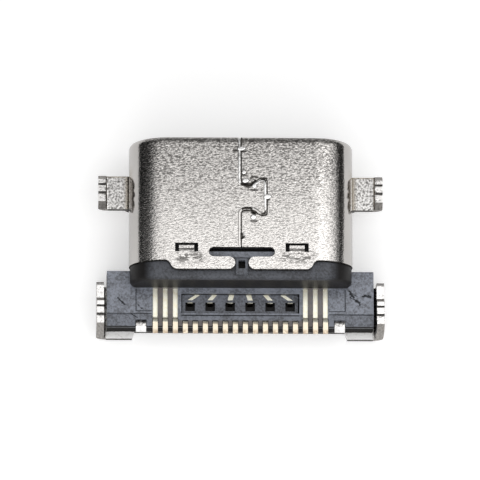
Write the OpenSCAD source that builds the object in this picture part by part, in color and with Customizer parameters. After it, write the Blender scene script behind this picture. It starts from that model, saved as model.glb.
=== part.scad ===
/* [Shell] */
// Outside width of the metal shell
shell_w = 8.94; // [8.7:0.02:9.3]
// Outside height of the metal shell
shell_h = 3.16; // [3.1:0.02:3.3]
// Thickness of the shell's sheet
shell_t = 0.30; // [0.24:0.01:0.34]
// Depth of the shell at its sides, from the mouth to the rear edge
shell_len = 5.04; // [5:0.01:5.1]
// How far the lip on the board side runs past that rear edge
lip_len = 0.37; // [0.3:0.01:0.42]
// Half width of the straight part of the lip
lip_half = 2.56; // [2.4:0.02:2.7]
// Width of the curve at each end of the lip
lip_run = 0.54; // [0.48:0.02:0.7]
// Rounding of the mouth's outer edge
mouth_r = 0.26; // [0.05:0.01:0.27]

/* [Seam] */
// Gap between the joined edges of the shell
seam_gap = 0.05; // [0.03:0.01:0.08]
// Distance of the seam from the middle of the shell
seam_x = -0.02; // [-0.2:0.01:0.2]
// Depth of the middle of the dovetail
dovetail_y = 2.47; // [2:0.01:2.8]
// Width of the dovetail's neck
neck_w = 1.09; // [0.8:0.01:1.2]
// Width of the dovetail's head
head_w = 1.52; // [1.3:0.02:1.7]
// Reach of the dovetail from the seam
dovetail_reach = 1.03; // [0.8:0.01:1.2]
// Length of the dovetail's neck, up to its flare
neck_len = 0.47; // [0.3:0.01:0.5]
// Length of the flare from neck to head
flare_len = 0.26; // [0.2:0.01:0.32]
// Easing of the seam's corners
seam_ease = 0.18; // [0.08:0.01:0.2]
// Radius of each coined mark that locks the seam
stake_r = 0.13; // [0.08:0.01:0.16]
// Depth of a coined mark
stake_d = 0.05; // [0.03:0.005:0.07]

/* [Rear slot and latches] */
// Distance of the cross slot's front edge from the shell's rear edge
slot_back = 0.52; // [0.48:0.01:0.58]
// Length of the cross slot
slot_w = 2.63; // [2:0.01:2.8]
// Width of the cross slot
slot_d = 0.39; // [0.3:0.01:0.42]
// Narrowest width of the stem that opens the slot to the rear
stem_w = 0.54; // [0.52:0.01:0.7]
// Distance of each latch from the middle
latch_x = 2.20; // [2.1:0.01:2.4]
// Distance of a latch window's front edge from the shell's rear edge
latch_back = 0.68; // [0.64:0.01:0.72]
// Width of a latch window
latch_w = 0.92; // [0.8:0.02:1]
// Length of a latch window
latch_d = 0.35; // [0.3:0.01:0.38]
// Width of the latch in its window
latch_tab_w = 0.60; // [0.4:0.02:0.64]
// Gap in front of the latch
latch_gap = 0.07; // [0.05:0.01:0.1]
// Drop of the latch below the shell's face
latch_drop = 0.12; // [0.08:0.01:0.14]

/* [Bracket] */
// Thickness of the bracket's sheet
bracket_t = 0.30; // [0.24:0.01:0.32]
// Width over the outer faces of the solder legs
legs_w = 11.50; // [11.4:0.02:12]
// Height from the shell's middle down to the board's face
board_drop = 0.45; // [0.4:0.01:0.5]
// How far the front legs stand in from the outer faces of the side walls
front_in = 0.06; // [0:0.01:0.1]
// Depth of the front edge of the front wings
wing_y = 1.21; // [1.1:0.01:1.4]
// Width of a front wing
wing_w = 1.34; // [1.3:0.02:1.5]
// Inside radius of the bends at the legs
bend_r = 0.10; // [0.05:0.01:0.14]
// Depth of the bracket's front edge
spine_y = 0.95; // [0.8:0.05:1.1]
// Height of a leg's shoulders over the board's face
leg_h = 0.48; // [0.4:0.02:0.6]
// Height of a leg's tip over its shoulders
tip_h = 0.08; // [0.04:0.01:0.12]
// Depth of the notches beside a leg's tip
notch_d = 0.20; // [0.1:0.01:0.24]
// Distance of the side walls' front end from the shell's rear edge
wall_back = 0.46; // [0.4:0.02:0.5]
// Distance of the middle of a rear leg from the shell's rear edge
rear_leg_back = 1.80; // [1.76:0.01:1.84]
// How far the bracket's rear tabs stand out behind the tail
rear_tab_len = 0.29; // [0.2:0.01:0.35]
// Length of each rear tab across the part
rear_tab_w = 1.14; // [0.9:0.02:1.2]
// Slant of the inner ends of the rear tabs
rear_tab_slant = 0.10; // [0:0.01:0.2]

/* [Housing] */
// Clearance between pieces that seat on each other
seat_gap = 0.02; // [0.01:0.005:0.03]
// Distance of the plug's stop face from the shell's rear edge
stop_back = 0.84; // [0.8:0.02:0.9]
// Width of the collar behind the shell
collar_w = 8.86; // [8.8:0.02:8.9]
// Height of the collar behind the shell
collar_h = 2.56; // [2.5:0.02:2.7]
// Length of the collar behind the shell
collar_len = 0.73; // [0.7:0.01:0.78]
// Rounding of the collar's rear edge
collar_r = 0.17; // [0.05:0.01:0.18]
// Gap between the tail block and the side walls of the bracket
tail_gap = 0.12; // [0.08:0.01:0.2]
// Length of the tail block behind the shell
tail_len = 2.27; // [2.24:0.01:2.3]
// Step from the board's face down to the tail's face
tail_step = 0.05; // [0.03:0.01:0.08]
// Rounding of the tail's rear edge
tail_r = 0.08; // [0.03:0.01:0.1]
// Width of the window in the tail
window_w = 4.72; // [4.66:0.02:4.8]
// Distance of the window's front edge from the shell's rear edge
window_back = 0.94; // [0.9:0.01:0.96]
// Length of the window
window_d = 0.80; // [0.76:0.01:0.82]
// Depth of the shallow steps in the tail's face
face_step = 0.03; // [0.02:0.005:0.04]
// Height of the key's face over the plug's face
key_h = 0.04; // [0.02:0.01:0.1]
// Height of the key's post over the plug's face
post_h = 0.20; // [0.1:0.01:0.25]

/* [Tongue] */
// Width of the tongue
tongue_w = 6.69; // [6.6:0.01:6.7]
// Thickness of the tongue
tongue_t = 0.70; // [0.68:0.01:0.76]
// Depth of the tongue's tip
tip_y = 0.25; // [0.2:0.05:0.5]
// Bevel of the tongue's tip
tip_bevel = 0.12; // [0.05:0.01:0.16]
// Length of the thick root of the tongue in front of the stop face
root_len = 0.80; // [0.7:0.05:0.9]
// Thickness of the root
root_t = 1.20; // [1.16:0.02:1.3]
// Width of the root
root_w = 7.10; // [7.05:0.05:7.2]
// Drop from the board's face to the floor of the window
floor_drop = 0.35; // [0.32:0.01:0.37]
// Thickness of the steel plate in the tongue
plate_t = 0.15; // [0.12:0.01:0.16]
// Thickness of the ground pads on the root
pad_t = 0.10; // [0.08:0.01:0.12]

/* [Contacts] */
// Spacing of the contacts on the tongue
tongue_step_x = 0.50; // [0.48:0.01:0.52]
// Spacing of the solder feet
foot_step_x = 0.40; // [0.39:0.01:0.41]
// Thickness of a contact
contact_t = 0.12; // [0.1:0.01:0.13]
// Width of a contact on the tongue
contact_w = 0.25; // [0.2:0.01:0.27]
// Width of a contact at its foot
foot_w = 0.20; // [0.16:0.01:0.21]
// How far the solder feet stand out behind the tail
foot_len = 0.29; // [0.2:0.01:0.35]
// Width of a ground foot
ground_foot_w = 0.41; // [0.36:0.01:0.44]
// Distance of a ground foot from the middle
ground_foot_x = 3.97; // [3.95:0.01:4]

/* [Hidden] */
$fn = 48;
over = 0.01;
row = 12;

// Shell
shell_r = shell_h / 2;
inner_r = shell_r - shell_t;
flat = shell_w / 2 - shell_r;
lip_y = shell_len + lip_len;
lip_turn = 2 * atan(lip_len / lip_run);
lip_r = lip_run / (2 * sin(lip_turn));
slot_y = shell_len - slot_back;
latch_y = shell_len - latch_back;
stem_r = (lip_y - slot_y - slot_d) / 2;
stake_ball = (stake_r * stake_r + stake_d * stake_d) / (2 * stake_d);
first_stake_y = 0.52;
last_stake_back = 0.44;
stake_side = 0.04;
neck_stake = 0.08;

// Bracket, in heights from the shell's middle
back_near = -shell_r - seat_gap;
back_far = back_near - bracket_t;
board_z = -board_drop;
arm_r = shell_r + seat_gap + bracket_t / 2;
arm_turn = asin((board_drop + bracket_t / 2) / arm_r);
arm_x = flat + arm_r * cos(arm_turn);
leg_x = legs_w / 2;
bend_x = leg_x - bracket_t - bend_r;
crown_half = 0.45;
notch_half = 0.29;
tip_half = 0.06;
notch_slope = 0.04;
wall_shoulder = 0.18;
wall_y = shell_len + wall_back;
rear_leg_y = shell_len + rear_leg_back;

// Plastic pieces
tail_y = shell_len + tail_len;
rear_tab_y = tail_y + rear_tab_len;
wall_end = rear_tab_y - 0.02;
foot_y = tail_y + foot_len;
tail_w = legs_w - 2 * (bracket_t + tail_gap);
tail_z = board_z - tail_step;
floor_z = board_z - floor_drop;
stop_y = shell_len - stop_back;
plug_r = inner_r - seat_gap;
collar_y = shell_len + collar_len;
collar_end_r = collar_h / 2;
collar_flat = collar_w / 2 - collar_end_r;
window_y = shell_len + window_back;
root_y = stop_y - root_len;
riser_y = shell_len + 0.26;
riser_end = shell_len + 0.58;
tongue_top = tongue_t / 2;
root_top = root_t / 2;
core_tail_w = window_w - 0.08;
core_tail_y = window_y + window_d - 0.04;
core_far = board_z - 0.86;
pad_edge = 0.30;
pad_front = 0.06;
pad_notch_r = 0.30;
latch_pocket = latch_drop + 0.06;
panel_in = 3.53;
panel_out = 4.19;
panel_y = tail_y - 0.61;
step_y = tail_y - 0.47;
front_step_y = shell_len + 0.55;
ledge_y = window_y + window_d + 0.07;
ledge_d = 0.04;
trench_d = 0.13;
trench_deep = 0.30;
post_w = stem_w - 0.08;
post_y = slot_y + slot_d + 0.05;
post_hole = [0.28, 0.33];
post_hole_y = post_y + 0.08;
post_hole_deep = 0.50;
hole_y = window_y + 0.30;
hole_d = 0.35;
hole_w = 0.385;
hole_deep = 0.28;

// Paths of the contacts, as depths and as heights of their middles
fan_y = stop_y + 0.15;
fan_end = shell_len + 0.11;
join_y = stop_y + 0.55;
drop_y = shell_len + 0.42;
far_drop_y = shell_len + 0.18;
slant_y = window_y - 0.16;
slant_start = 0.3;
near_z = tongue_top - contact_t / 2;
foot_z = board_z - contact_t / 2;
strip_z = tail_z - 0.08 - contact_t / 2;
slant_z = floor_z - contact_t / 2;
under_z = board_z - 0.75;
far_run_z = board_z - 0.99;
outer_foot_y = tail_y - 0.21;
inner_foot_y = tail_y - 0.15;
rise_y = tail_y - 0.36;
groove_end = outer_foot_y - 0.11;
pocket = 0.14;
pocket_front = 0.09;
ground_pocket = 0.08;
contact_bend = 0.10;
plate_bend = 0.13;
ground_drop_y = shell_len - 0.09;
ground_run_z = board_z - 0.52;
ground_foot_y = tail_y - 0.18;
ground_foot_end = foot_y - 0.06;
latch_notch_back = 1.50;
latch_notch_y = tip_y + latch_notch_back;
latch_notch_d = 0.70;
latch_notch_w = 0.28;
power_tip = 0.35;
signal_tip = 0.65;
plate_edge = 0.15;
plate_end = join_y - 0.2;
plate_hole_w = 0.84;
plate_hole_x = 1.86;
plate_hole_d = 1.00;
plate_leg_w = (root_w - tongue_w) / 2 + 0.08;
plate_leg_x = (root_w - plate_leg_w) / 2 - seat_gap;

function unit(v) = v / norm(v);
function arc(c, r, a0, a1, n = 8) =
    [for (i = [0:n]) let (a = a0 + (a1 - a0) * i / n) c + r * [cos(a), sin(a)]];
function flip(points) = [for (i = [len(points) - 1:-1:0]) [-points[i].x, points[i].y]];

// A path with each inner corner eased over a length r, or over less where the path's legs are short
function ease(p, i, r) = min(r, 0.45 * norm(p[i - 1] - p[i]), 0.45 * norm(p[i + 1] - p[i]));
function eased(p, r, n = 3) = [
    for (i = [0:len(p) - 1])
        if (i == 0 || i == len(p) - 1) p[i]
        else
            let (
                a = p[i] + unit(p[i - 1] - p[i]) * ease(p, i, r),
                b = p[i] + unit(p[i + 1] - p[i]) * ease(p, i, r)
            )
            for (k = [0:n]) let (s = k / n) (1 - s) * (1 - s) * a + 2 * s * (1 - s) * p[i] + s * s * b
];

// Sideways step from a path's point to the edge of a ribbon one unit thick
function aside(p, i) =
    let (
        a = unit(i > 0 ? p[i] - p[i - 1] : p[1] - p[0]),
        b = unit(i < len(p) - 1 ? p[i + 1] - p[i] : a),
        m = unit(a + b)
    ) [-m.y, m.x] / (2 * (m * a));
module ribbon(p, t) {
    polygon(concat(
        [for (i = [0:len(p) - 1]) p[i] + t * aside(p, i)],
        [for (i = [len(p) - 1:-1:0]) p[i] - t * aside(p, i)]
    ));
}

// Places a shape drawn with its depth upwards so that its depth runs back from the mouth
module by_depth() rotate([90, 0, 0]) children();
// Extrudes a side view, drawn as depth and height, between two places across the part
module across(x0, x1) translate([x1, 0, 0]) rotate([90, 0, -90]) linear_extrude(x1 - x0) children();
// Extrudes a plan, drawn as place across and depth, between two heights
module plan(z0, z1) translate([0, 0, z1]) rotate([180, 0, 0]) linear_extrude(z1 - z0) children();
module both_sides() for (s = [0, 1]) mirror([s, 0, 0]) children();

// Sweeps a section, drawn as radius and depth, round a long outline with round ends
module round_outline(half = flat) by_depth() for (s = [0, 1]) {
    mirror([0, s, 0]) translate([-half, 0, 0]) rotate([90, 0, 90]) linear_extrude(2 * half) children();
    mirror([s, 0, 0]) translate([half, 0, 0]) rotate([0, 0, -90]) rotate_extrude(angle = 180) children();
}
module rounded_corner(r) difference() {
    square(r + over);
    circle(r);
}

// Plan of the shell's rear lip, grown by g
module lip_plan(g) {
    right = concat(
        arc([lip_half + lip_run + g, shell_len + lip_r + g], lip_r, -90, -90 - lip_turn),
        arc([lip_half + g, lip_y - lip_r + g], lip_r, 90 - lip_turn, 90)
    );
    corner = [lip_half + lip_run + g, shell_len];
    polygon(concat(right, flip(right), [[-corner.x, corner.y], corner]));
}
module cross_slot(g) {
    middle = slot_y + slot_d / 2;
    translate([0, middle]) square([slot_w - slot_d, slot_d - 2 * g], center = true);
    for (s = [-1, 1]) translate([s * (slot_w - slot_d) / 2, middle]) circle(slot_d / 2 - g);
}
module slot_stem() difference() {
    translate([-stem_w / 2 - stem_r, slot_y + slot_d - over])
        square([stem_w + 2 * stem_r, 2 * stem_r + 2 * over]);
    for (s = [-1, 1]) translate([s * (stem_w / 2 + stem_r), lip_y - stem_r]) circle(stem_r);
}

// Plan of the seam, which steps aside into a dovetail on its way to the slot
module seam() {
    flare_x = seam_x + neck_len;
    head_x = flare_x + flare_len;
    end_x = seam_x + dovetail_reach;
    neck = neck_w / 2;
    head = head_w / 2;
    ribbon(eased([
        [seam_x, -over], [seam_x, dovetail_y - neck], [flare_x, dovetail_y - neck],
        [head_x, dovetail_y - head], [end_x, dovetail_y - head], [end_x, dovetail_y + head],
        [head_x, dovetail_y + head], [flare_x, dovetail_y + neck], [seam_x, dovetail_y + neck],
        [seam_x, slot_y + over]
    ], seam_ease, 4), seam_gap);
}
// Places of the coined marks, beside the seam and across it
neck_top = dovetail_y - neck_w / 2;
neck_end = dovetail_y + neck_w / 2;
stakes = [
    [seam_x, first_stake_y], [seam_x + 3 * stake_side, neck_top - last_stake_back],
    [seam_x + 4 * stake_side, neck_top - neck_stake],
    [seam_x + neck_len + stake_side, neck_top - neck_stake / 2],
    [seam_x + dovetail_reach + stake_side, dovetail_y],
    [seam_x + neck_len + stake_side, neck_end + neck_stake / 2], [seam_x, slot_y - last_stake_back]
];

module latch() {
    root = latch_y + latch_d;
    middle = shell_r - shell_t / 2;
    across(latch_x - latch_tab_w / 2, latch_x + latch_tab_w / 2) ribbon([
        [root + latch_gap, middle], [root, middle], [root - latch_gap, middle - latch_drop],
        [latch_y + latch_gap, middle - latch_drop]
    ], shell_t);
}

module shell() color([0.80, 0.79, 0.77]) {
    difference() {
        round_outline() difference() {
            translate([inner_r, 0]) square([shell_t, lip_y]);
            translate([shell_r - mouth_r, mouth_r]) mirror([0, 1]) rounded_corner(mouth_r);
        }
        plan(-shell_h, 0) translate([-shell_w, shell_len]) square([2 * shell_w, lip_y]);
        plan(0, shell_h) difference() {
            translate([-shell_w, shell_len]) square([2 * shell_w, lip_y]);
            lip_plan(0);
        }
        plan(0, shell_h) {
            cross_slot(0);
            slot_stem();
            seam();
            for (s = [-1, 1]) translate([s * latch_x - latch_w / 2, latch_y]) square([latch_w, latch_d]);
        }
        for (p = stakes) translate([p.x, -p.y, shell_r - stake_d + stake_ball]) sphere(stake_ball);
    }
    both_sides() latch();
}

// Side view of a solder leg's crowned end round depth c, on a foot that starts at height z
function crown(c, half, z) = [
    [c - half, z], [c - crown_half, board_z + leg_h], [c - notch_half, board_z + leg_h],
    [c - notch_half + notch_slope, board_z + leg_h - notch_d],
    [c - tip_half - notch_slope, board_z + leg_h - notch_d], [c - tip_half, board_z + leg_h + tip_h],
    [c + tip_half, board_z + leg_h + tip_h], [c + tip_half + notch_slope, board_z + leg_h - notch_d],
    [c + notch_half - notch_slope, board_z + leg_h - notch_d], [c + notch_half, board_z + leg_h],
    [c + crown_half, board_z + leg_h], [c + half, z]
];

// End view of a quarter bend that turns a level sheet with its near face at z upwards
module upward_bend(z) {
    translate([bend_x, z + bend_r]) intersection() {
        difference() {
            circle(bend_r + bracket_t);
            circle(bend_r);
        }
        mirror([0, 1]) square(2 * (bend_r + bracket_t));
    }
    translate([leg_x - bracket_t, z + bend_r - over]) square([bracket_t, 2 * over]);
    translate([bend_x - over, z - bracket_t]) square([2 * over, bracket_t]);
}
// End view of a front arm, which hugs the shell's round side and turns out level with the board
module arm_section() {
    reach = 2 * arm_r;
    difference() {
        translate([flat, 0]) circle(arm_r + bracket_t / 2);
        translate([flat, 0]) circle(arm_r - bracket_t / 2);
        translate([flat, 0]) rotate(-arm_turn) translate([-reach, 0]) square([2 * reach, reach]);
        translate([flat - over - reach, -reach]) square([reach, 2 * reach]);
    }
    translate([arm_x, board_z - bracket_t / 2]) circle(bracket_t / 2);
    translate([arm_x, board_z - bracket_t]) square([bend_x - front_in - arm_x + over, bracket_t]);
    translate([-front_in, 0]) upward_bend(board_z);
}
module front_arm() {
    foot = board_z + bend_r;
    by_depth() translate([0, 0, wing_y]) linear_extrude(wing_w) arm_section();
    across(leg_x - front_in - bracket_t, leg_x - front_in) polygon(concat(
        [[wing_y, foot]], crown(wing_y + wing_w / 2, wing_w / 2, foot + over), [[wing_y + wing_w, foot]]
    ));
}
module side_wall() {
    foot = back_near + bend_r;
    by_depth() translate([0, 0, wall_y]) linear_extrude(wall_end - wall_y) upward_bend(back_near);
    across(leg_x - bracket_t, leg_x) polygon(concat(
        [[wall_y, foot]],
        arc([wall_y + wall_shoulder, board_z - wall_shoulder], wall_shoulder, 180, 90),
        crown(rear_leg_y, wing_w / 2, board_z), [[wall_end, foot + over], [wall_end, foot]]
    ));
}
module rear_tab() polygon([
    [bend_x - rear_tab_w, tail_y - over], [bend_x - rear_tab_w + rear_tab_slant, rear_tab_y],
    [bend_x, rear_tab_y], [bend_x, tail_y - over]
]);
module bracket() color([0.78, 0.77, 0.75]) {
    plan(back_far, back_near) {
        translate([-flat, spine_y]) square([2 * flat, tail_y - spine_y]);
        translate([-bend_x, wall_y]) square([2 * bend_x, tail_y - wall_y]);
        both_sides() rear_tab();
    }
    both_sides() {
        front_arm();
        side_wall();
    }
}

// Place across of contact i on the tongue, behind it, at its hole and at its foot
function tongue_x(i) = (i - (row + 1) / 2) * tongue_step_x;
function is_outer(i) = i <= 3 || i > row - 3;
function is_power(i) = i == 1 || i == 4 || i == row - 3 || i == row;
function is_shared(i) = is_power(i) || i == row / 2 || i == row / 2 + 1;
function outer_x(i) = (tongue_x(i) / tongue_step_x + sign(tongue_x(i)) * 3) * foot_step_x;
function hole_x(i) = tongue_x(i) / tongue_step_x * 2 * foot_step_x;
function near_foot_x(i) = hole_x(i) + sign(hole_x(i)) * foot_step_x / 2;
function fan_x(i) = is_outer(i) ? outer_x(i) : tongue_x(i) + (hole_x(i) - tongue_x(i)) * slant_start;
function contact_tip(i) = tip_y + (is_power(i) ? power_tip : signal_tip);
function far_foot_x(k) = (k - 3.5) * 2 * foot_step_x - sign(k - 3.5) * foot_step_x / 2;
far_footed = [for (i = [1:row]) if (!is_shared(i)) i];
function far_rank(i) = search(i, far_footed)[0] + 1;

// A bent strip made from its side view, a path of depths and heights, and its plan,
// a list of stations that each give place across, width and depth
module two_view(path, stations, t, r) intersection() {
    across(-tail_w / 2, tail_w / 2) ribbon(eased(path, r), t);
    plan(back_near, shell_r) polygon(concat(
        [for (s = stations) [s.x - s.y / 2, s.z]],
        [for (k = [len(stations) - 1:-1:0]) [stations[k].x + stations[k].y / 2, stations[k].z]]
    ));
}
function tongue_stations(i) = [
    [tongue_x(i), contact_w, contact_tip(i)], [tongue_x(i), contact_w, fan_y], [fan_x(i), foot_w, fan_end]
];

module outer_contact(i) two_view(
    [
        [contact_tip(i), near_z], [drop_y, near_z], [drop_y, strip_z],
        [groove_end, strip_z], [outer_foot_y, foot_z], [foot_y, foot_z]
    ],
    concat(tongue_stations(i), [[fan_x(i), foot_w, foot_y]]), contact_t, contact_bend
);
module inner_contact(i) two_view(
    [
        [contact_tip(i), near_z], [drop_y, near_z], [drop_y, slant_z], [hole_y, slant_z],
        [hole_y + contact_bend, under_z], [rise_y, under_z], [inner_foot_y, foot_z], [foot_y, foot_z]
    ],
    concat(tongue_stations(i), [
        [fan_x(i), foot_w, slant_y], [hole_x(i), foot_w, hole_y - contact_bend],
        [hole_x(i), foot_w, hole_y + 2 * contact_bend], [near_foot_x(i), foot_w, rise_y - contact_bend],
        [near_foot_x(i), foot_w, foot_y]
    ]), contact_t, contact_bend
);
module near_contact(i) color([0.90, 0.84, 0.62]) {
    if (is_outer(i)) outer_contact(i);
    else inner_contact(i);
}

// A far contact that shares a foot rises to the back of the near contact over it
module shared_contact(i) two_view(
    [[contact_tip(i), -near_z], [join_y, -near_z], [join_y, near_z - contact_t / 2]],
    tongue_stations(i), contact_t, contact_bend
);
module footed_contact(i) {
    foot = far_foot_x(far_rank(i));
    two_view(
        [
            [contact_tip(i), -near_z], [far_drop_y, -near_z], [far_drop_y, far_run_z],
            [rise_y, far_run_z], [inner_foot_y, foot_z], [foot_y, foot_z]
        ],
        [
            [tongue_x(i), contact_w, contact_tip(i)], [tongue_x(i), contact_w, fan_y],
            [tongue_x(i), foot_w, fan_end], [tongue_x(i), foot_w, far_drop_y + contact_t],
            [foot, foot_w, rise_y - contact_bend], [foot, foot_w, foot_y]
        ], contact_t, contact_bend
    );
}
module far_contact(i) color([0.90, 0.84, 0.62]) {
    if (is_shared(i)) shared_contact(i);
    else footed_contact(i);
}
module all_contacts() for (i = [1:row]) {
    near_contact(i);
    far_contact(i);
}

// Cut-outs in the tongue's edges for the spring latches of a plug
module latch_notches(z0, z1) both_sides() plan(z0, z1)
    translate([tongue_w / 2 - latch_notch_w, latch_notch_y]) square([2 * latch_notch_w, latch_notch_d]);

module mid_plate() color([0.74, 0.74, 0.73]) {
    yoke_y = plate_end - plate_leg_w;
    difference() {
        plan(-plate_t / 2, plate_t / 2) {
            translate([-tongue_w / 2, tip_y + plate_edge]) square([tongue_w, plate_end - tip_y - plate_edge]);
            translate([-plate_leg_x - plate_leg_w / 2, yoke_y])
                square([2 * plate_leg_x + plate_leg_w, plate_leg_w]);
        }
        latch_notches(-plate_t, plate_t);
        for (s = [-1:1]) plan(-plate_t, plate_t)
            translate([s * plate_hole_x - plate_hole_w / 2, root_y - plate_hole_d / 2])
                square([plate_hole_w, plate_hole_d]);
    }
    both_sides() two_view(
        [
            [yoke_y, 0], [ground_drop_y, 0], [ground_drop_y, ground_run_z], [rise_y, ground_run_z],
            [ground_foot_y, board_z - plate_t / 2], [ground_foot_end, board_z - plate_t / 2]
        ],
        [
            [plate_leg_x, plate_leg_w, yoke_y], [plate_leg_x, plate_leg_w, ground_drop_y + plate_t],
            [ground_foot_x, ground_foot_w, collar_y], [ground_foot_x, ground_foot_w, ground_foot_end]
        ], plate_t, plate_bend
    );
}

module ground_pad() plan(root_top, root_top + pad_t) difference() {
    translate([pad_edge - root_w / 2, root_y + pad_front])
        square([root_w - 2 * pad_edge, stop_y - root_y - pad_front]);
    for (s = [-1, 1]) translate([s * root_w / 5, stop_y]) circle(pad_notch_r);
}
module ground_pad_near() color([0.76, 0.76, 0.75]) ground_pad();
module ground_pad_far() color([0.76, 0.76, 0.75]) mirror([0, 0, 1]) ground_pad();

module holes() for (i = [4:row - 3])
    plan(floor_z - hole_deep, floor_z + over)
        translate([hole_x(i) - hole_w / 2, hole_y]) square([hole_w, hole_d]);

// The tongue's moulding as one block, without the pieces moulded into it
module tongue_body() {
    across(-tongue_w / 2, tongue_w / 2) polygon([
        [tip_y, tongue_top - tip_bevel], [tip_y + tip_bevel, tongue_top], [riser_y, tongue_top],
        [riser_y, -tongue_top], [tip_y + tip_bevel, -tongue_top], [tip_y, tip_bevel - tongue_top]
    ]);
    across(-root_w / 2, root_w / 2) translate([root_y, -root_top]) square([riser_y - root_y, root_t]);
    across(-core_tail_w / 2, core_tail_w / 2) polygon([
        [riser_y - over, root_top], [riser_end, root_top], [riser_end, floor_z], [core_tail_y, floor_z],
        [core_tail_y, core_far], [riser_y - over, core_far]
    ]);
}
module tongue() color([0.13, 0.13, 0.15]) difference() {
    tongue_body();
    latch_notches(-root_top, root_top);
    holes();
    mid_plate();
    all_contacts();
}

module collar() round_outline(collar_flat) difference() {
    translate([0, shell_len + seat_gap]) square([collar_end_r, collar_y - shell_len - seat_gap]);
    translate([collar_end_r - collar_r, collar_y - collar_r]) rounded_corner(collar_r);
}
module tail() across(-tail_w / 2, tail_w / 2) difference() {
    translate([shell_len + seat_gap, -shell_r]) square([tail_y - shell_len - seat_gap, shell_r + tail_z]);
    translate([tail_y - tail_r, tail_z - tail_r]) rounded_corner(tail_r);
}
module key() {
    plan(0, plug_r + key_h) cross_slot(seat_gap);
    plan(0, plug_r + post_h) translate([-post_w / 2, post_y]) square([post_w, collar_y - collar_r - post_y]);
}

// Open grooves and pockets in the tail's face round the contacts and ground feet
module tail_cuts() {
    plan(floor_z, tail_z + over) translate([-window_w / 2, window_y]) square([window_w, window_d]);
    plan(tail_z - 2 * face_step, tail_z + over)
        translate([-window_w / 2, ledge_y]) square([window_w, ledge_d]);
    plan(core_far, tail_z + over) {
        gap = (window_w - core_tail_w) / 2;
        for (s = [-1, 1]) translate([s * (window_w - gap) / 2 - gap / 2, window_y]) square([gap, window_d]);
    }
    for (i = [1:row]) if (is_outer(i)) {
        translate([outer_x(i) - foot_w / 2, -groove_end, strip_z])
            cube([foot_w, groove_end - collar_y, tail_z - strip_z + over]);
        foot_pocket(outer_x(i), foot_w, groove_end);
    } else {
        foot_pocket(near_foot_x(i), foot_w, inner_foot_y - pocket_front);
        foot_pocket(far_foot_x(i - 3), foot_w, inner_foot_y - pocket_front);
    }
    both_sides() {
        foot_pocket(ground_foot_x, ground_foot_w, ground_foot_y - ground_pocket);
        plan(tail_z - face_step, tail_z + over) {
            translate([panel_in, collar_y]) square([panel_out - panel_in, panel_y - collar_y]);
            translate([panel_out, step_y]) square([tail_w, tail_y]);
            translate([collar_w / 2, shell_len]) square([tail_w, front_step_y - shell_len]);
        }
    }
}
module foot_pocket(x, w, y) plan(foot_z - pocket, tail_z + over)
    translate([x - w / 2 - seat_gap, y]) square([w + 2 * seat_gap, tail_y - y + over]);

module housing() color([0.16, 0.17, 0.20]) difference() {
    union() {
        round_outline() translate([0, stop_y]) square([plug_r, shell_len + 2 * seat_gap - stop_y]);
        collar();
        tail();
        key();
    }
    plan(plug_r, shell_r) difference() {
        lip_plan(seat_gap);
        translate([-post_w / 2, post_y]) square([post_w, lip_y]);
    }
    plan(plug_r - trench_deep, shell_r) intersection() {
        cross_slot(0);
        translate([-slot_w / 2, slot_y]) square([slot_w, trench_d]);
    }
    plan(plug_r + post_h - post_hole_deep, shell_r)
        translate([-post_hole.x / 2, post_hole_y]) square(post_hole);
    both_sides() plan(plug_r - latch_pocket, shell_r) translate([latch_x - latch_w / 2, latch_y])
        square([latch_w, latch_d + 2 * latch_gap]);
    tail_cuts();
    tongue_body();
    mid_plate();
    all_contacts();
}

shell();
bracket();
housing();
tongue();
mid_plate();
ground_pad_near();
ground_pad_far();
for (i = [1:row]) near_contact(i);
for (i = [1:row]) far_contact(i);
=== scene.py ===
import math

import bmesh
import bpy
from mathutils import Matrix, Vector


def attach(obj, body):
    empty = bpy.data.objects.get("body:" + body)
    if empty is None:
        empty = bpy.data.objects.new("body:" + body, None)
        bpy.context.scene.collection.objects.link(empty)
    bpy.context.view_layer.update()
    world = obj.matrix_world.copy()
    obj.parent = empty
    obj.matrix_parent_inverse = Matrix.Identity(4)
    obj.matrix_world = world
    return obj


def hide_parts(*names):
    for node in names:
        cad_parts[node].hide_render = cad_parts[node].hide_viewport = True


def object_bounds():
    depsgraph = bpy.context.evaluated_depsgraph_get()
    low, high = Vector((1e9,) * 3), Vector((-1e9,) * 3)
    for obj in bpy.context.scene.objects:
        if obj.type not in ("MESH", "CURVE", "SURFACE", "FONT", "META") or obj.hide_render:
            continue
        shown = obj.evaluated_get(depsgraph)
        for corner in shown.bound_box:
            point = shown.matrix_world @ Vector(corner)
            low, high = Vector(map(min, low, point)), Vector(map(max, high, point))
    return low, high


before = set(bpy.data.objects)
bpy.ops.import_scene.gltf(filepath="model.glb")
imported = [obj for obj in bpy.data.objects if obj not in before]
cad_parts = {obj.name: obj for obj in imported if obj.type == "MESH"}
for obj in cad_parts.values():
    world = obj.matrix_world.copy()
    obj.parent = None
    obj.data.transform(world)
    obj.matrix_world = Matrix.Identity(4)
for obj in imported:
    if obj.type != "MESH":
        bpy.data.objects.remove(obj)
cadBox = [list(corner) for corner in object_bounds()]
mm = 0.001  # the frame is in metres, the sizes below are in millimetres
tableZ = cadBox[0][2] / mm
print("frame loaded:", len(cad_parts), "nodes")


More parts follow.
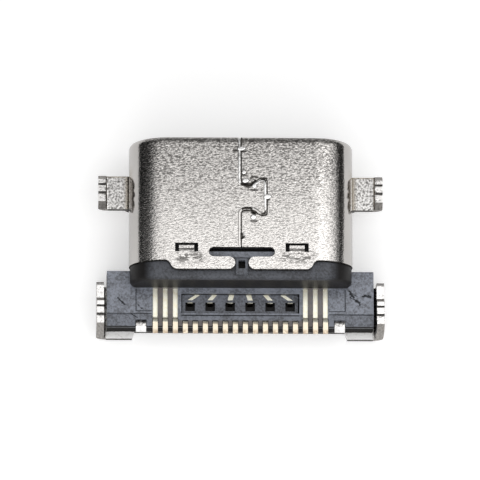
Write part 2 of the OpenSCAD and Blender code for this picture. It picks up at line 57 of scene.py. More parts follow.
class Wire:  # a node socket that takes part in Python sums
    def __init__(self, tree, socket=None):
        self.tree = tree
        self.socket = socket

    def node(self, kind, settings=None, sockets=None, out=0):
        made = self.tree.nodes.new(kind)
        for key, value in (settings or {}).items():
            setattr(made, key, value)
        for key, value in (sockets or {}).items():
            if isinstance(value, Wire):
                self.tree.links.new(value.socket, made.inputs[key])
            else:
                made.inputs[key].default_value = value
        return Wire(self.tree, made.outputs[out])

    def maths(self, operation, *values):
        return self.node("ShaderNodeMath", {"operation": operation}, dict(enumerate(values)))

    def __add__(self, other):
        return self.maths("ADD", self, other)

    def __radd__(self, other):
        return self.maths("ADD", other, self)

    def __sub__(self, other):
        return self.maths("SUBTRACT", self, other)

    def __rsub__(self, other):
        return self.maths("SUBTRACT", other, self)

    def __mul__(self, other):
        return self.maths("MULTIPLY", self, other)

    def __rmul__(self, other):
        return self.maths("MULTIPLY", other, self)

    def __truediv__(self, other):
        return self.maths("DIVIDE", self, other)

    def __rtruediv__(self, other):
        return self.maths("DIVIDE", other, self)

    def most(self, other):
        return self.maths("MAXIMUM", self, other)

    def least(self, other):
        return self.maths("MINIMUM", self, other)

    def clamped(self):
        return self.node("ShaderNodeClamp", None, {0: self})

    def above(self, low, high):  # 0 below low, 1 above high, eased between
        return self.node("ShaderNodeMapRange", {"interpolation_type": "SMOOTHSTEP"},
                         {"Value": self, "From Min": low, "From Max": high})

    def below(self, low, high):
        return 1 - self.above(low, high)

    def within(self, start, end):  # 1 between the two spans
        return self.above(*start) * self.below(*end)

    def axis(self, name):
        return self.node("ShaderNodeSeparateXYZ", None, {0: self}, name)

    def aside(self):  # distance from the middle plane
        return self.maths("ABSOLUTE", self.axis("X"))

    def inward(self):  # distance behind the mouth
        return 0 - self.axis("Y")

    def scaled(self, size):
        return self.node("ShaderNodeVectorMath", {"operation": "MULTIPLY"}, {0: self, 1: size})

    def noise(self, scale, detail=2.0, rough=0.5, bend=0.0):  # scale is per millimetre
        return self.node("ShaderNodeTexNoise", None, {
            "Vector": self, "Scale": scale, "Detail": detail, "Roughness": rough, "Distortion": bend})

    def mixed(self, low, high):  # blends two colours by this value
        return self.node("ShaderNodeMix", {"data_type": "RGBA"}, {0: self, 6: low, 7: high}, 2)

    def bump(self, height, strength):  # height in millimetres
        return self.node("ShaderNodeBump", None, {
            "Strength": strength, "Distance": height * mm, "Height": self})

    def strokes(self, lines):  # distance to the nearest of some straight strokes, seen from above
        x, y = self.axis("X"), self.axis("Y")
        nearest = None
        for ax, ay, bx, by in lines:
            dx, dy = bx - ax, by - ay
            along = ((x - ax) * dx + (y - ay) * dy) / (dx * dx + dy * dy)
            along = along.clamped()
            ex, ey = x - ax - along * dx, y - ay - along * dy
            away = self.maths("SQRT", ex * ex + ey * ey)
            nearest = away if nearest is None else nearest.least(away)
        return nearest


def newFinish(name):
    finish = bpy.data.materials.new(name)
    finish.use_nodes = True
    tree = finish.node_tree
    shader = tree.nodes["Principled BSDF"]
    place = Wire(tree).node("ShaderNodeTexCoord", out="Object").scaled((1 / mm,) * 3)
    return finish, shader, place


def feed(shader, name, wire):
    shader.id_data.links.new(wire.socket, shader.inputs[name])


def fix(shader, values):  # what is the same all over a surface
    for name, value in values.items():
        shader.inputs[name].default_value = value


def grey(level, warm=0.0):
    return (level * (1 + warm), level, level * (1 - warm), 1)


shellLook = {
    "pale": grey(0.80, 0.035), "dark": grey(0.17, 0.05), "stain": grey(0.20, 0.05),
    "paintedShade": grey(0.035, 0.10), "tint": (0.33, 0.28, 0.21, 1),
    "peelStretch": (0.75, 1.45, 1.0), "peelNoise": (12.5, 2.0, 0.6, 0.5), "peelSpan": (0.34, 0.62),
    "peelGain": 0.62, "peelHeight": 0.018, "peelStrength": 1.0, "sidePeel": 0.12,
    "fleckStretch": (0.8, 1.3, 1.0), "fleckNoise": (22.0, 1.0, 0.5), "fleckSpan": (0.3, 0.7),
    "fleckGain": 0.36, "cloudNoise": (0.9, 2.0, 0.5), "cloudGain": 0.20,
    "speckleMiddle": 0.49, "speckleGain": 1.15, "frontSpan": (0.6, 3.2), "frontGain": 0.55,
    "level": 0.31, "rearLightSpan": (0.0, 5.0), "rearLightGain": 0.47, "lipSpan": (0.12, 0.42), "lipShade": 0.45,
    "crownSpan": (0.92, 1.44), "sideLevel": 0.40, "faceSpan": (1.35, 1.45),  # heights over the middle
    "roughness": 0.145, "peelRough": 0.12, "sideRough": 0.4, "stainRough": 0.1,
    "heatFrom": (0.95, 1.50), "heatTo": (2.30, 2.85), "heatTop": (0.55, 1.15), "heatRagged": 0.8,
    "heatRise": 0.5, "heatSpan": (0.25, 0.6), "heatGain": 0.9,
    "smudgeStretch": (0.6, 1.4, 1.0), "smudgeNoise": (5.5, 3.0, 0.6, 1.0), "smudgeSpan": (0.48, 0.60),
    "smudgeReach": (0.05, 0.42), "smudgeHeight": 0.6,
    "paintedShadeReach": (0.018, 0.065), "paintedShadeSpan": (0.15, 0.45), "paintedShadeGain": 0.9, "bendShadeReach": (0.008, 0.03),
    "smudges": [(-2.45, -4.95, -1.75, -4.95), (1.75, -4.95, 2.75, -4.92)],
    "bendShadeStrokes": [(-2.50, -4.655, -1.90, -4.655), (1.90, -4.655, 2.50, -4.655)],
    "crescents": [  # painted shade at the coined marks and along the front of the seam
        (-0.33, -0.59, -0.14, -0.58), (-0.14, -0.60, 0.16, -0.62), (0.05, -1.575, 0.08, -1.575),
        (-0.02, -1.88, 0.08, -1.96), (0.08, -1.96, 0.31, -2.00), (0.13, -2.03, 0.27, -2.09),
        (0.36, -1.72, 0.44, -1.64), (0.44, -1.64, 0.62, -1.68), (0.38, -1.95, 0.57, -1.86),
        (0.38, -2.19, 0.60, -2.20), (1.03, -2.585, 1.08, -2.59), (0.40, -2.97, 0.50, -2.94),
        (0.50, -2.94, 0.63, -3.02), (0.38, -3.11, 0.53, -3.18), (0.37, -3.46, 0.58, -3.47),
        (-0.09, -4.09, -0.02, -4.16), (-0.02, -4.16, 0.09, -4.12), (-0.08, -4.07, 0.00, -4.03),
        (0.06, -3.06, 0.32, -3.04), (0.78, -1.72, 0.97, -1.72), (0.80, -3.24, 0.96, -3.22)]}
def shellFinish():
    look = shellLook
    finish, shader, place = newFinish("rolledSteel")
    depth, height = place.inward(), place.axis("Z")
    face = height.above(*look["faceSpan"])
    crown = height.above(*look["crownSpan"])  # the rolled sides are smoother than the flat
    peel = place.scaled(look["peelStretch"]).noise(*look["peelNoise"])
    fleck = place.scaled(look["fleckStretch"]).noise(*look["fleckNoise"])
    cloud = place.noise(*look["cloudNoise"])
    speckle = peel.above(*look["peelSpan"]) * look["peelGain"]
    speckle = speckle + fleck.above(*look["fleckSpan"]) * look["fleckGain"] - look["speckleMiddle"]
    gain = depth.below(*look["frontSpan"]) * look["frontGain"] + look["speckleGain"]
    mist = cloud * look["cloudGain"]
    flat = speckle * gain + mist + look["level"]
    # painted light: the flat grows paler towards the rear
    flat = flat + depth.above(*look["rearLightSpan"]) * look["rearLightGain"]
    flat = flat - depth.below(*look["lipSpan"]) * look["lipShade"]
    pale = flat * crown + (1 - crown) * (mist + look["sideLevel"])
    steel = pale.clamped().mixed(look["dark"], look["pale"])
    ragged = depth + (cloud - 0.5) * look["heatRagged"]  # the arms were soldered here
    heat = ragged.within(look["heatFrom"], look["heatTo"])
    heat = heat * (height + cloud * look["heatRise"]).below(*look["heatTop"])
    steel = (heat * peel.above(*look["heatSpan"]) * look["heatGain"]).mixed(steel, look["tint"])
    blotch = place.scaled(look["smudgeStretch"]).noise(*look["smudgeNoise"]).above(*look["smudgeSpan"])
    smudge = place.strokes(look["smudges"]).below(*look["smudgeReach"]) * face * blotch
    # painted shade at the coined marks and along the front of the seam
    paintedShade = place.strokes(look["crescents"]).below(*look["paintedShadeReach"]) * face * look["paintedShadeGain"]
    # painted shade along the bends of the latch tabs
    bendShade = place.strokes(look["bendShadeStrokes"]).below(*look["bendShadeReach"]) * face
    shadeMarks = (paintedShade * peel.above(*look["paintedShadeSpan"])).most(bendShade)
    feed(shader, "Base Color", shadeMarks.mixed(smudge.mixed(steel, look["stain"]), look["paintedShade"]))
    rough = peel * look["peelRough"] + look["roughness"]
    rough = rough * (crown * (1 - look["sideRough"]) + look["sideRough"])
    feed(shader, "Roughness", rough + smudge * look["stainRough"])
    skin = peel * (crown * (1 - look["sidePeel"]) + look["sidePeel"]) + smudge * look["smudgeHeight"]
    feed(shader, "Normal", skin.bump(look["peelHeight"], look["peelStrength"]))
    fix(shader, {"Metallic": 1.0})
    return finish


shearLook = {
    "shadedCutEdge": (grey(0.20, 0.05), grey(0.045, 0.07)), "litCutSlope": (grey(0.46, 0.05), grey(0.26, 0.06)),
    "tearStretch": (1.0, 1.0, 0.3), "tearNoise": (14.0, 3.0, 0.6), "tearSpan": (0.35, 0.7),
    "tearHeight": 0.006, "tearStrength": 0.6, "roughness": 0.45, "tearRough": 0.2}
def shearFinish(name):  # bare cut edges of the stamped sheets, with painted shade: a dark copy for square cuts, a paler copy for slopes
    look = shearLook
    finish, shader, place = newFinish(name)
    pale, dark = look[name]
    tear = place.scaled(look["tearStretch"]).noise(*look["tearNoise"])
    feed(shader, "Base Color", tear.above(*look["tearSpan"]).mixed(dark, pale))
    feed(shader, "Roughness", tear * look["tearRough"] + look["roughness"])
    feed(shader, "Normal", tear.bump(look["tearHeight"], look["tearStrength"]))
    fix(shader, {"Metallic": 1.0})
    return finish


burrLook = {
    "pale": grey(0.94, 0.01), "dark": grey(0.45, 0.02), "paintedShade": grey(0.03, 0.1), "wearAndSheen": grey(0.58, 0.04),
    "speckNoise": (3.2, 2.0, 0.6), "speckSpan": (0.36, 0.54), "roughness": 0.22, "speckRough": 0.10,
    "wornFrom": (2.85, 3.05), "wornGain": 0.85, "paintedShadeReach": (0.07, 0.11), "hookReach": (0.03, 0.06),
    "paintedShadeStrokes": [(0.02, -1.97, 0.36, -2.00), (0.36, -2.00, 0.40, -1.94), (0.08, -2.97, 0.34, -2.95)],
    "hooks": [  # painted shade in the corners of the dovetail
        (0.80, -1.75, 0.95, -1.78), (0.95, -1.78, 0.99, -1.92), (0.97, -3.06, 0.92, -3.16),
        (0.92, -3.16, 0.78, -3.19)]}
def burrFinish(name, even):  # even is 1 for metal that was rubbed bright all over
    look = burrLook
    finish, shader, place = newFinish(name)
    speck = place.noise(*look["speckNoise"])
    bare = (speck.above(*look["speckSpan"]) + even).mixed(look["dark"], look["pale"])
    wearAndSheen = place.inward().above(*look["wornFrom"]) * (look["wornGain"] * (1 - even))
    bare = wearAndSheen.mixed(bare, look["wearAndSheen"])
    # painted shade on the bead at the coined marks and in the dovetail's corners
    paintedShade = place.strokes(look["paintedShadeStrokes"]).below(*look["paintedShadeReach"])
    paintedShade = paintedShade.most(place.strokes(look["hooks"]).below(*look["hookReach"])) * (1 - even)
    feed(shader, "Base Color", paintedShade.mixed(bare, look["paintedShade"]))
    feed(shader, "Roughness", speck * look["speckRough"] + look["roughness"])
    fix(shader, {"Metallic": 1.0})
    return finish


seamShadeLook = {
    "dark": (0.012, 0.010, 0.008, 1), "pale": grey(0.06, 0.1), "speckNoise": (9.0, 2.0, 0.5),
    "speckSpan": (0.4, 0.75), "roughness": 0.7, "shine": 0.2}
# a dark strip laid in the seam's gap, as painted shade
def seamShadeFinish():
    look = seamShadeLook
    finish, shader, place = newFinish("seamShade")
    speck = place.noise(*look["speckNoise"]).above(*look["speckSpan"])
    feed(shader, "Base Color", speck.mixed(look["dark"], look["pale"]))
    fix(shader, {"Roughness": look["roughness"], "Specular IOR Level": look["shine"]})
    return finish


bracketLook = {
    "pale": grey(0.88, 0.02), "dark": grey(0.22, 0.04), "tint": (0.36, 0.31, 0.24, 1),
    "tin": grey(0.97, 0.005), "tinDark": grey(0.76, 0.02), "tinNoise": (5.0, 3.0, 0.6, 0.6),
    "tinSpan": (0.30, 0.50),
    "peelNoise": (11.0, 2.5, 0.55, 0.4), "peelSpan": (0.34, 0.62), "peelHeight": 0.011, "peelStrength": 0.9,
    "roughness": 0.22, "peelRough": 0.14,
    "tinFrom": (7.30, 7.34), "tinSide": (5.30, 5.36), "tinRough": 0.1, "tinDull": 0.8,
    "legSide": (5.42, 5.47), "legPale": 0.5,
    "outerSide": (5.715, 5.735), "outerEven": 0.6, "outerDark": 0.26, "outerFlat": 0.85,
    "armSide": (4.05, 4.30), "armTo": (2.9, 3.1),
    "frontTo": (1.235, 1.29), "frontSpan": (0.25, 0.5), "frontGain": 0.8,
    "heatSide": (4.50, 4.72), "heatSpan": (0.2, 0.6), "heatGain": 0.85}
def bracketFinish(name):
    look = bracketLook
    finish, shader, place = newFinish(name)
    peel = place.noise(*look["peelNoise"])
    depth, side = place.inward(), place.aside()
    tin = depth.above(*look["tinFrom"]) * side.below(*look["tinSide"])  # the rear tabs are tinned for solder
    outer = side.above(*look["outerSide"])  # the legs are smoother on their outer faces
    bare = peel.above(*look["peelSpan"]) * (1 - outer * look["outerEven"])
    bare = bare + side.above(*look["legSide"]) * look["legPale"] - outer * look["outerDark"]
    steel = bare.mixed(look["dark"], look["pale"])
    arm = side.above(*look["armSide"]) * depth.below(*look["armTo"])
    # painted shade along the front edge of the wings, in the brown tint
    front = depth.below(*look["frontTo"]) * peel.above(*look["frontSpan"]) * look["frontGain"]
    heat = side.below(*look["heatSide"]) * peel.above(*look["heatSpan"]) * look["heatGain"]
    steel = (front.most(heat) * arm).mixed(steel, look["tint"])
    plated = place.noise(*look["tinNoise"]).above(*look["tinSpan"]).mixed(look["tinDark"], look["tin"])
    feed(shader, "Base Color", tin.mixed(steel, plated))
    feed(shader, "Roughness", peel * look["peelRough"] + tin * look["tinRough"] + look["roughness"])
    feed(shader, "Metallic", 1 - tin * look["tinDull"])
    skin = peel * (1 - outer * look["outerFlat"])
    feed(shader, "Normal", skin.bump(look["peelHeight"], look["peelStrength"]))
    return finish


housingLook = {
    "face": (0.218, 0.236, 0.280, 1), "grain": (0.074, 0.079, 0.093, 1), "wall": (0.009, 0.008, 0.008, 1),
    "scratchAndShade": (0.003, 0.003, 0.003, 1), "recessShade": (0.125, 0.098, 0.080, 1),
    "grainNoise": (11.0, 3.0, 0.65), "cloudNoise": (1.5, 3.0, 0.55, 0.5), "grainShare": 0.65,
    "mottleSpan": (0.36, 0.60), "grainHeight": 0.006, "grainStrength": 0.4, "grainBump": 0.6,
    "tailFrom": (-0.555, -0.53), "tailTo": (-0.40, -0.36), "rearFrom": (6.80, 6.84), "rearDark": 0.25,
    "slabFrom": (-0.825, -0.805), "slabTo": (-0.76, -0.74), "slabSheen": 0.75,
    "collarFrom": (1.02, 1.29), "collarSheen": 0.34, "keyFrom": (1.285, 1.295), "keySheen": 0.62,
    "postFrom": (1.36, 1.40), "postDark": 0.5,
    "stripFrom": (2.45, 2.60), "combFrom": (7.04, 7.10), "recessShadeTo": (3.42, 3.52), "recessShadeSpan": (0.25, 0.55),
    "recessShadeGain": 0.8,
    "cutReach": (0.01, 0.05), "cutGrain": 0.10, "cutCloud": 0.06, "cutNarrow": 0.08, "cutGain": 0.85,
    "lineReach": (0.008, 0.028), "lineGain": 0.85,
    "rubReach": (0.03, 0.08), "rubRagged": 0.10, "rubGain": 0.9,
    "roughness": 0.36, "grainRough": 0.16, "darkRough": 0.3, "wallRough": 0.06, "outerRough": 0.45,
    "outerDepth": (7.0, 7.2), "outerSide": (5.25, 5.32),
    "coat": 0.8, "coatRough": 0.35, "shine": 0.25,
    "lines": [  # painted shade lines at the steps and panel edges of the tail
        (-5.32, -6.80, -3.56, -6.80), (-4.17, -5.80, -4.17, -6.69), (-4.17, -6.69, -3.55, -6.69),
        (-4.36, -6.81, -4.12, -6.97), (5.32, -6.82, 3.56, -6.82), (4.19, -5.80, 4.19, -6.69),
        (4.19, -6.69, 3.55, -6.69)],
    "cuts": [
        (-4.90, -6.17, -4.62, -6.43), (-4.07, -6.46, -4.05, -6.48), (-3.96, -6.58, -3.93, -6.60),
        (4.36, -5.86, 4.50, -5.98), (4.50, -5.98, 4.40, -6.12), (4.40, -6.12, 4.70, -6.26),
        (4.70, -6.26, 4.78, -6.42), (4.88, -6.06, 5.18, -6.10), (4.56, -6.02, 4.66, -6.06)],
    "blots": [(4.98, -6.04, 5.20, -6.08), (4.42, -5.96, 4.52, -6.10), (4.62, -6.24, 4.76, -6.32)]}
def housingFinish(name):
    look = housingLook
    finish, shader, place = newFinish(name)
    grain = place.noise(*look["grainNoise"])
    cloud = place.noise(*look["cloudNoise"])
    depth, height = place.inward(), place.axis("Z")
    tail = height.within(look["tailFrom"], look["tailTo"])
    slab = height.within(look["slabFrom"], look["slabTo"])
    # painted sheen: the faces that look at the board are paler than the walls
    wearAndSheen = tail - tail * depth.above(*look["rearFrom"]) * look["rearDark"] + slab * look["slabSheen"]
    wearAndSheen = wearAndSheen + height.above(*look["collarFrom"]) * look["collarSheen"]
    wearAndSheen = wearAndSheen + height.above(*look["keyFrom"]) * look["keySheen"]
    wearAndSheen = wearAndSheen - height.above(*look["postFrom"]) * look["postDark"]
    mottle = (cloud * (1 - look["grainShare"]) + grain * look["grainShare"]).above(*look["mottleSpan"])
    cut = place.strokes(look["cuts"]) + grain * look["cutGrain"] + cloud * look["cutCloud"]
    cut = (cut - look["cutNarrow"]).below(*look["cutReach"]) * look["cutGain"]
    # the lines are painted shade at the steps and panel edges; the cuts and rubs are marks on the plastic
    line = place.strokes(look["lines"]).below(*look["lineReach"]) * tail * look["lineGain"]
    rub = place.strokes(look["blots"]) + (cloud + grain - 1) * look["rubRagged"]
    rub = rub.below(*look["rubReach"]) * look["rubGain"]
    dark = cut.most(line).most(rub)
    face = mottle.mixed(look["grain"], look["face"])
    side = place.aside()
    recessShade = side.above(*look["stripFrom"]).most(depth.above(*look["combFrom"])) * side.below(*look["recessShadeTo"])
    recessShade = recessShade * tail * grain.above(*look["recessShadeSpan"]) * look["recessShadeGain"]  # painted shade between the strips and the feet
    face = recessShade.mixed(face, look["recessShade"])
    feed(shader, "Base Color", dark.mixed(wearAndSheen.mixed(look["wall"], face), look["scratchAndShade"]))
    outer = depth.above(*look["outerDepth"]).most(side.above(*look["outerSide"]))
    matt = (1 - wearAndSheen) * (outer * look["outerRough"] + look["wallRough"])
    rough = grain * look["grainRough"] + dark * look["darkRough"] + look["roughness"]
    feed(shader, "Roughness", rough + matt)
    feed(shader, "Coat Weight", (1 - dark) * wearAndSheen * look["coat"])
    skin = grain * look["grainBump"] - dark
    feed(shader, "Normal", skin.bump(look["grainHeight"], look["grainStrength"]))
    fix(shader, {"Specular IOR Level": look["shine"], "Coat Roughness": look["coatRough"]})
    return finish


goldLook = {
    "pale": (0.98, 0.96, 0.82, 1), "dark": (0.93, 0.88, 0.69, 1), "recessShade": (0.010, 0.008, 0.006, 1),
    "foot": (0.91, 0.81, 0.64, 1), "tip": (0.52, 0.41, 0.30, 1),
    "speckNoise": (8.0, 2.0, 0.5), "speckSpan": (0.30, 0.56), "speckHeight": 0.004, "speckStrength": 0.4,
    "roughness": 0.26, "speckRough": 0.12, "metal": 0.6,
    "bendFrom": (6.97, 6.99), "bendTo": (7.17, 7.20), "bendTop": (-0.55, -0.52), "holeTop": (-0.86, -0.82),
    "footFrom": (7.12, 7.18), "tipFrom": (7.38, 7.56), "tipSpan": (0.2, 0.6)}
def goldFinish():
    look = goldLook
    finish, shader, place = newFinish("goldPlate")
    speck = place.noise(*look["speckNoise"])
    depth, height = place.inward(), place.axis("Z")
    bend = depth.within(look["bendFrom"], look["bendTo"]) * height.below(*look["bendTop"])
    recessShade = bend.most(height.below(*look["holeTop"]))  # painted shade in the bends before the feet and in the square holes
    plate = speck.above(*look["speckSpan"]).mixed(look["dark"], look["pale"])
    plate = depth.above(*look["footFrom"]).mixed(plate, look["foot"])
    plate = (depth.above(*look["tipFrom"]) * speck.above(*look["tipSpan"])).mixed(plate, look["tip"])
    feed(shader, "Base Color", recessShade.mixed(plate, look["recessShade"]))
    feed(shader, "Roughness", speck * look["speckRough"] + look["roughness"])
    feed(shader, "Normal", speck.bump(look["speckHeight"], look["speckStrength"]))
    fix(shader, {"Metallic": look["metal"]})
    return finish


def newPiece(name, data):
    piece = bpy.data.objects.new(name, data)
    bpy.context.collection.objects.link(piece)
    return piece


def bake(piece):  # keeps the evaluated shape as a plain mesh, with no modifier left
    shown = piece.evaluated_get(bpy.context.evaluated_depsgraph_get())
    mesh = bpy.data.meshes.new_from_object(shown)
    piece.modifiers.clear()
    piece.data = mesh


easeLook = {
    "weld": 0.0005, "segments": 2, "sharpOver": 32, "square": 0.99999,  # square: how level a flat face is
    "edges": {"shell": 0.018, "bracket": 0.04, "housing": 0.012, "tongue": 0.012, "steel": 0.015,
              "contact": 0.012}}
def levelFlats(mesh):  # square-on faces stay flat, the others are smoothed over shallow edges
    limit = math.cos(math.radians(easeLook["sharpOver"]))
    normals = [face.normal.copy() for face in mesh.polygons]
    around = [[] for _ in mesh.vertices]
    for face in mesh.polygons:
        for corner in face.vertices:
            around[corner].append(face.index)
    corners = []
    for face in mesh.polygons:
        own = normals[face.index]
        for corner in face.vertices:
            if max(abs(part) for part in own) > easeLook["square"]:
                corners.append(own)
                continue
            total = Vector((0, 0, 0))
            for other in around[corner]:
                if own.dot(normals[other]) > limit:
                    total += normals[other] * mesh.polygons[other].area
            corners.append(total.normalized() if total.length else own)
    mesh.normals_split_custom_set(corners)


cutLook = {
    "facing": 0.5, "mouth": -0.5, "legSide": 5.3, "legFoot": -0.4,  # the sheets are cut across the depth
    "square": {"shell": 0.5, "bracket": 0.95}}  # how square to the depth a dark cut on the legs is
def cutSlot(face, square):  # 0 for the sheet's own face, 1 for a square cut in the dark painted-shade copy, 2 for a leg's slope in the paler copy
    side, depth, height = face.center / mm
    facing = abs(face.normal.y)
    if facing < cutLook["facing"] or depth > cutLook["mouth"]:
        return 0
    if abs(side) > cutLook["legSide"] and (facing < square or height < cutLook["legFoot"]):
        return 2
    return 1


def dress(nodeName, kind):  # a copy of a CAD node with eased edges stands for it
    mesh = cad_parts[nodeName].data.copy()
    mesh.materials.clear()
    mesh.materials.append(finishes[kind])
    work = bmesh.new()
    work.from_mesh(mesh)
    bmesh.ops.remove_doubles(work, verts=work.verts, dist=easeLook["weld"] * mm)
    for face in work.faces:
        face.smooth = True
        face.material_index = 0
    work.to_mesh(mesh)
    work.free()
    square = cutLook["square"].get(kind)
    if square:
        for name in ("shadedCutEdge", "litCutSlope"):
            mesh.materials.append(finishes[name])
    piece = newPiece(nodeName + "Dressed", mesh)
    bevel = piece.modifiers.new("easedEdges", "BEVEL")
    bevel.width = easeLook["edges"][kind] * mm
    bevel.segments = easeLook["segments"]
    bevel.limit_method = "ANGLE"
    bevel.angle_limit = math.radians(easeLook["sharpOver"])
    bake(piece)
    levelFlats(piece.data)
    if square:
        for face in piece.data.polygons:
            face.material_index = cutSlot(face, square)
    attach(piece, "root")
    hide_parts(nodeName)
    return piece


finishes = {
    "shell": shellFinish(), "bracket": bracketFinish("bentSteel"), "steel": bracketFinish("plateSteel"),
    "housing": housingFinish("mouldedBlack"), "tongue": housingFinish("innerBlack"), "contact": goldFinish(),
    "shadedCutEdge": shearFinish("shadedCutEdge"), "litCutSlope": shearFinish("litCutSlope"),
    "burr": burrFinish("pressedBead", 0.0), "smear": burrFinish("burnishedSteel", 1.0), "shadeMarks": seamShadeFinish()}
for nodeName in sorted(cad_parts):
    kind = nodeName.split("_")[0]
    kind = kind if kind in easeLook["edges"] else "steel"
    piece = dress(nodeName, kind)
print("pieces dressed")


def newTree(name, inputs):  # a geometry tree, with a wire from each of its named inputs
    tree = bpy.data.node_groups.new(name, "GeometryNodeTree")
    for label, kind in {"Geometry": "NodeSocketGeometry", **inputs}.items():
        tree.interface.new_socket(label, in_out="INPUT", socket_type=kind)
    tree.interface.new_socket("Geometry", in_out="OUTPUT", socket_type="NodeSocketGeometry")
    given = tree.nodes.new("NodeGroupInput")
    return tree, {label: Wire(tree, given.outputs[label]) for label in ("Geometry", *inputs)}


def grow(piece, tree, shape, paint, values):  # ends the tree, runs it on the piece and keeps the plain mesh
    real = shape.node("GeometryNodeRealizeInstances", None, {0: shape})
    done = shape.node("GeometryNodeSetMaterial", None, {"Geometry": real, "Material": paint})
    result = tree.nodes.new("NodeGroupOutput")
    tree.links.new(done.socket, result.inputs["Geometry"])
    modifier = piece.modifiers.new(tree.name, "NODES")
    modifier.node_group = tree
    for item in tree.interface.items_tree:
        if item.in_out == "INPUT" and item.name in values:
            modifier[item.identifier] = values[item.name]
    bake(piece)
    for face in piece.data.polygons:
        face.use_smooth = True
    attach(piece, "root")


def easeTurns(points, reach, steps):  # rounds the inner corners of a path
    out = [points[0]]
    for before, turn, after in zip(points, points[1:], points[2:]):
        back, ahead = before - turn, after - turn
        cut = min(reach, 0.45 * back.length, 0.45 * ahead.length)  # under half of each side
        start, end = turn + back.normalized() * cut, turn + ahead.normalized() * cut
        for step in range(steps + 1):
            share = step / steps
            out.append(start * (1 - share) ** 2 + turn * (2 * share * (1 - share)) + end * share ** 2)
    return out + [points[-1]]


seamLook = {
    "x": -0.02, "front": 0.30, "end": 4.46, "middle": 2.47, "neck": 0.545, "head": 0.76, "flare": 0.45,
    "shoulder": 0.71, "reach": 1.01, "ease": 0.18, "steps": 6, "top": 1.572, "sides": 10,
    "dips": [(0.03, -0.13), (0.07, -0.08), (0.13, -0.035), (0.20, -0.008)],  # depth and drop over the lip
    "lines": [  # name, step aside, half width, rise, finish
        ("seamBead", 0.082, 0.052, 0.45, "burr"), ("seamShade", -0.006, 0.038, 0.25, "shadeMarks")]}
def makeSeamLine(name, aside, half, rise, finish):  # the pressed-up edge, or a dark strip of painted shade in the gap, follows the seam
    look = seamLook
    x, middle, neck, head = look["x"], look["middle"], look["neck"], look["head"]
    dovetail = [(x, neck), (look["flare"], neck), (look["shoulder"], head), (look["reach"], head)]
    turns = [(x, look["front"])] + [(across, middle - spread) for across, spread in dovetail]
    turns += [(across, middle + spread) for across, spread in reversed(dovetail)] + [(x, look["end"])]
    path = [Vector((x, -depth, look["top"] + dip)) for depth, dip in look["dips"]]
    corners = [Vector((across, -depth, look["top"])) for across, depth in turns]
    path += easeTurns(corners, look["ease"], look["steps"])
    route = []
    for i, point in enumerate(path):
        along = (path[min(i + 1, len(path) - 1)] - path[max(i - 1, 0)]).normalized()
        route.append((point + along.cross(Vector((0, 0, 1))) * aside) * mm)
    mesh = bpy.data.meshes.new(name)
    mesh.from_pydata(route, [(i, i + 1) for i in range(len(route) - 1)], [])
    tree, given = newTree(name + "Along", {
        "Bead width": "NodeSocketFloat", "Rise": "NodeSocketFloat", "Finish": "NodeSocketMaterial"})
    curve = given["Geometry"].node("GeometryNodeMeshToCurve", None, {0: given["Geometry"]})
    ring = curve.node("GeometryNodeCurvePrimitiveCircle", None, {
        "Resolution": look["sides"], "Radius": given["Bead width"]}, "Curve")
    flat = curve.node("ShaderNodeCombineXYZ", None, {"X": 1, "Y": given["Rise"], "Z": 1})
    ring = curve.node("GeometryNodeTransform", None, {"Geometry": ring, "Scale": flat})
    tube = curve.node("GeometryNodeCurveToMesh", None, {
        "Curve": curve, "Profile Curve": ring, "Fill Caps": True})
    grow(newPiece(name, mesh), tree, tube, given["Finish"], {
        "Bead width": half * mm, "Rise": rise, "Finish": finishes[finish]})


smearLook = {
    "rise": 0.030, "top": 1.570, "crown": 0.62, "sides": 24, "rings": 3, "swing": 0.25, "seed": 4,
    "smears": [  # place across, depth, half width, half length
        (-0.01, 0.50, 0.21, 0.105), (0.085, 1.47, 0.10, 0.11), (0.15, 1.81, 0.17, 0.12),
        (0.50, 2.03, 0.11, 0.11), (1.02, 2.46, 0.19, 0.13), (0.46, 3.30, 0.14, 0.13),
        (0.12, 3.99, 0.05, 0.05)]}
def makeSmears():  # metal pushed over the seam at each coined mark
    look = smearLook
    mesh = bpy.data.meshes.new("coinedSmears")
    mesh.from_pydata([Vector((x, -y, look["top"])) * mm for x, y, _, _ in look["smears"]], [], [])
    spans = mesh.attributes.new("span", "FLOAT_VECTOR", "POINT")
    for i, (_, _, wide, long) in enumerate(look["smears"]):
        spans.data[i].vector = (wide * mm, long * mm, look["rise"] * mm)
    tree, given = newTree("smearsOnMarks", {
        "Crown": "NodeSocketFloat", "Roundness": "NodeSocketInt", "Seed": "NodeSocketInt",
        "Finish": "NodeSocketMaterial"})
    points = given["Geometry"]
    mound = points.node("GeometryNodeMeshCone", None, {
        "Vertices": given["Roundness"], "Fill Segments": look["rings"], "Radius Top": given["Crown"],
        "Radius Bottom": 1, "Depth": 1}, "Mesh")
    span = points.node("GeometryNodeInputNamedAttribute", {"data_type": "FLOAT_VECTOR"}, {
        "Name": "span"}, "Attribute")
    swing = points.node("FunctionNodeRandomValue", None, {
        2: -look["swing"], 3: look["swing"], "Seed": given["Seed"]}, 1)
    turn = points.node("ShaderNodeCombineXYZ", None, {"Z": swing})
    spread = points.node("GeometryNodeInstanceOnPoints", None, {
        "Points": points, "Instance": mound, "Rotation": turn, "Scale": span})
    grow(newPiece("coinedSmears", mesh), tree, spread, given["Finish"], {
        "Crown": look["crown"], "Roundness": look["sides"], "Seed": look["seed"],
        "Finish": finishes["smear"]})


for line in seamLook["lines"]:
    makeSeamLine(*line)
makeSmears()
print("seam and coined smears grown")


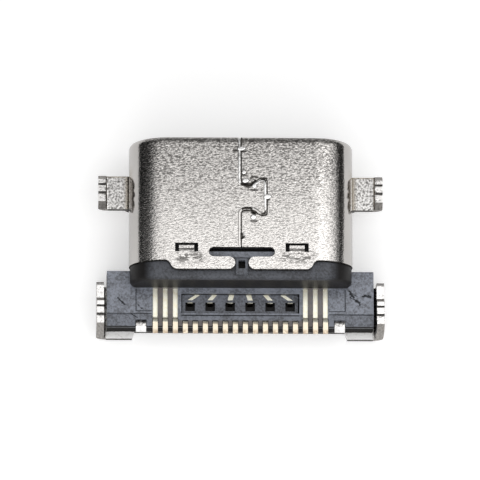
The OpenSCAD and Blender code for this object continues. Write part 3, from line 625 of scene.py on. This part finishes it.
floorLook = {
    "colour": grey(0.80), "half": 900.0, "glow": 0.36, "glint": 0.6, "roughness": 0.9, "shine": 0.1}
def makeFloor():
    look = floorLook
    work = bmesh.new()
    bmesh.ops.create_grid(work, x_segments=1, y_segments=1, size=look["half"] * mm,
                          matrix=Matrix.Translation((0, 0, tableZ * mm)))
    mesh = bpy.data.meshes.new("floor")
    work.to_mesh(mesh)
    work.free()
    finish, shader, place = newFinish("paleFloor")
    rays = ("Is Camera Ray", "Is Glossy Ray", "Is Transmission Ray")
    camera, glossy, clear = [place.node("ShaderNodeLightPath", out=name) for name in rays]
    shown = (camera + glossy * look["glint"] + clear).least(1.0) * look["glow"]
    feed(shader, "Emission Color", shown.mixed(grey(0), grey(1)))
    fix(shader, {"Emission Strength": 1.0, "Base Color": look["colour"],
                 "Roughness": look["roughness"], "Specular IOR Level": look["shine"]})
    mesh.materials.append(finish)
    newPiece("floor", mesh)


cardLook = {
    "colour": grey(0.025), "roughness": 0.9, "away": 60.0, "lift": 0.05, "ends": (-0.5, 60.0),
    "cards": [(-1, 20.0, 48.0), (1, 15.5, 17.0)]}  # side, near edge on the table, angle of the top
def makeCards():  # dark cards that only the metal's mirror sees
    look = cardLook
    finish, shader, _ = newFinish("blackCard")
    fix(shader, {"Base Color": look["colour"], "Roughness": look["roughness"]})
    for side, near, angle in look["cards"]:
        rise = look["away"] * math.tan(math.radians(angle))
        bends = ((near, look["lift"]), (look["away"], look["lift"]), (look["away"], rise))
        work = bmesh.new()
        rows = [[work.verts.new(Vector((side * reach, end, tableZ + lift)) * mm) for end in look["ends"]]
                for reach, lift in bends]
        for low, high in zip(rows, rows[1:]):
            work.faces.new((low[0], low[1], high[1], high[0]))
        mesh = bpy.data.meshes.new("card")
        work.to_mesh(mesh)
        work.free()
        mesh.materials.append(finish)
        card = newPiece("card", mesh)
        card.visible_camera = False
        card.visible_diffuse = False
        card.visible_shadow = False


lightLook = {"world": 0.34, "lamps": [  # place, aim, width, length, brightness, mirrored or not
    ((0.0, -9.5, 22.0), (0.0, -9.5, 0.0), 44.0, 25.0, 1.03, True),
    ((26.0, 6.0, 30.0), (0.0, -3.0, 0.0), 22.0, 40.0, 0.83, True),
    ((0.0, -34.0, 24.0), (0.0, -6.0, -1.0), 40.0, 20.0, 0.76, True),
    ((-4.0, 34.0, 30.0), (0.0, -2.0, 0.0), 40.0, 30.0, 1.12, False),
    ((0.0, -40.0, 17.0), (0.0, -7.5, -1.5), 60.0, 24.0, 1.12, False)]}
def makeLight():
    world = bpy.data.worlds.new("studio")
    bpy.context.scene.world = world
    world.use_nodes = True
    back = world.node_tree.nodes["Background"]
    camera = Wire(world.node_tree).node("ShaderNodeLightPath", out="Is Camera Ray")
    feed(back, "Strength", camera * (1 - lightLook["world"]) + lightLook["world"])
    fix(back, {"Color": grey(1)})
    for place, aim, width, length, bright, mirrored in lightLook["lamps"]:
        lamp = bpy.data.lights.new("softbox", "AREA")
        lamp.shape = "RECTANGLE"
        lamp.size = width * mm
        lamp.size_y = length * mm
        lamp.energy = bright * math.pi * lamp.size * lamp.size_y
        box = newPiece("softbox", lamp)
        box.location = Vector(place) * mm
        box.rotation_euler = (Vector(aim) - Vector(place)).to_track_quat("-Z", "Y").to_euler()
        box.visible_camera = False
        box.visible_glossy = mirrored


cameraLook = {
    "elevation": 77.5, "lean": -0.031, "away": 400.0, "field": 19.2, "roll": -0.1, "near": 10.0,
    "target": (-0.012, -3.79, -0.45)}
def makeCamera():
    look = cameraLook
    data = bpy.data.cameras.new("camera")
    data.lens = data.sensor_width * look["away"] / look["field"]
    data.clip_start = look["near"] * mm
    camera = newPiece("camera", data)
    tilt = math.radians(look["elevation"])
    back = Vector((look["lean"], -math.cos(tilt), math.sin(tilt))).normalized()
    camera.location = (Vector(look["target"]) + back * look["away"]) * mm
    right = Vector((0, 1, 0)).cross(back).normalized()
    turn = Matrix((right, back.cross(right), back)).transposed().to_4x4()
    camera.rotation_euler = (turn @ Matrix.Rotation(math.radians(look["roll"]), 4, "Z")).to_euler()
    bpy.context.scene.camera = camera


makeFloor()
makeCards()
makeLight()
makeCamera()
bpy.context.scene.view_settings.view_transform = "Standard"
print("stage, light and camera set")
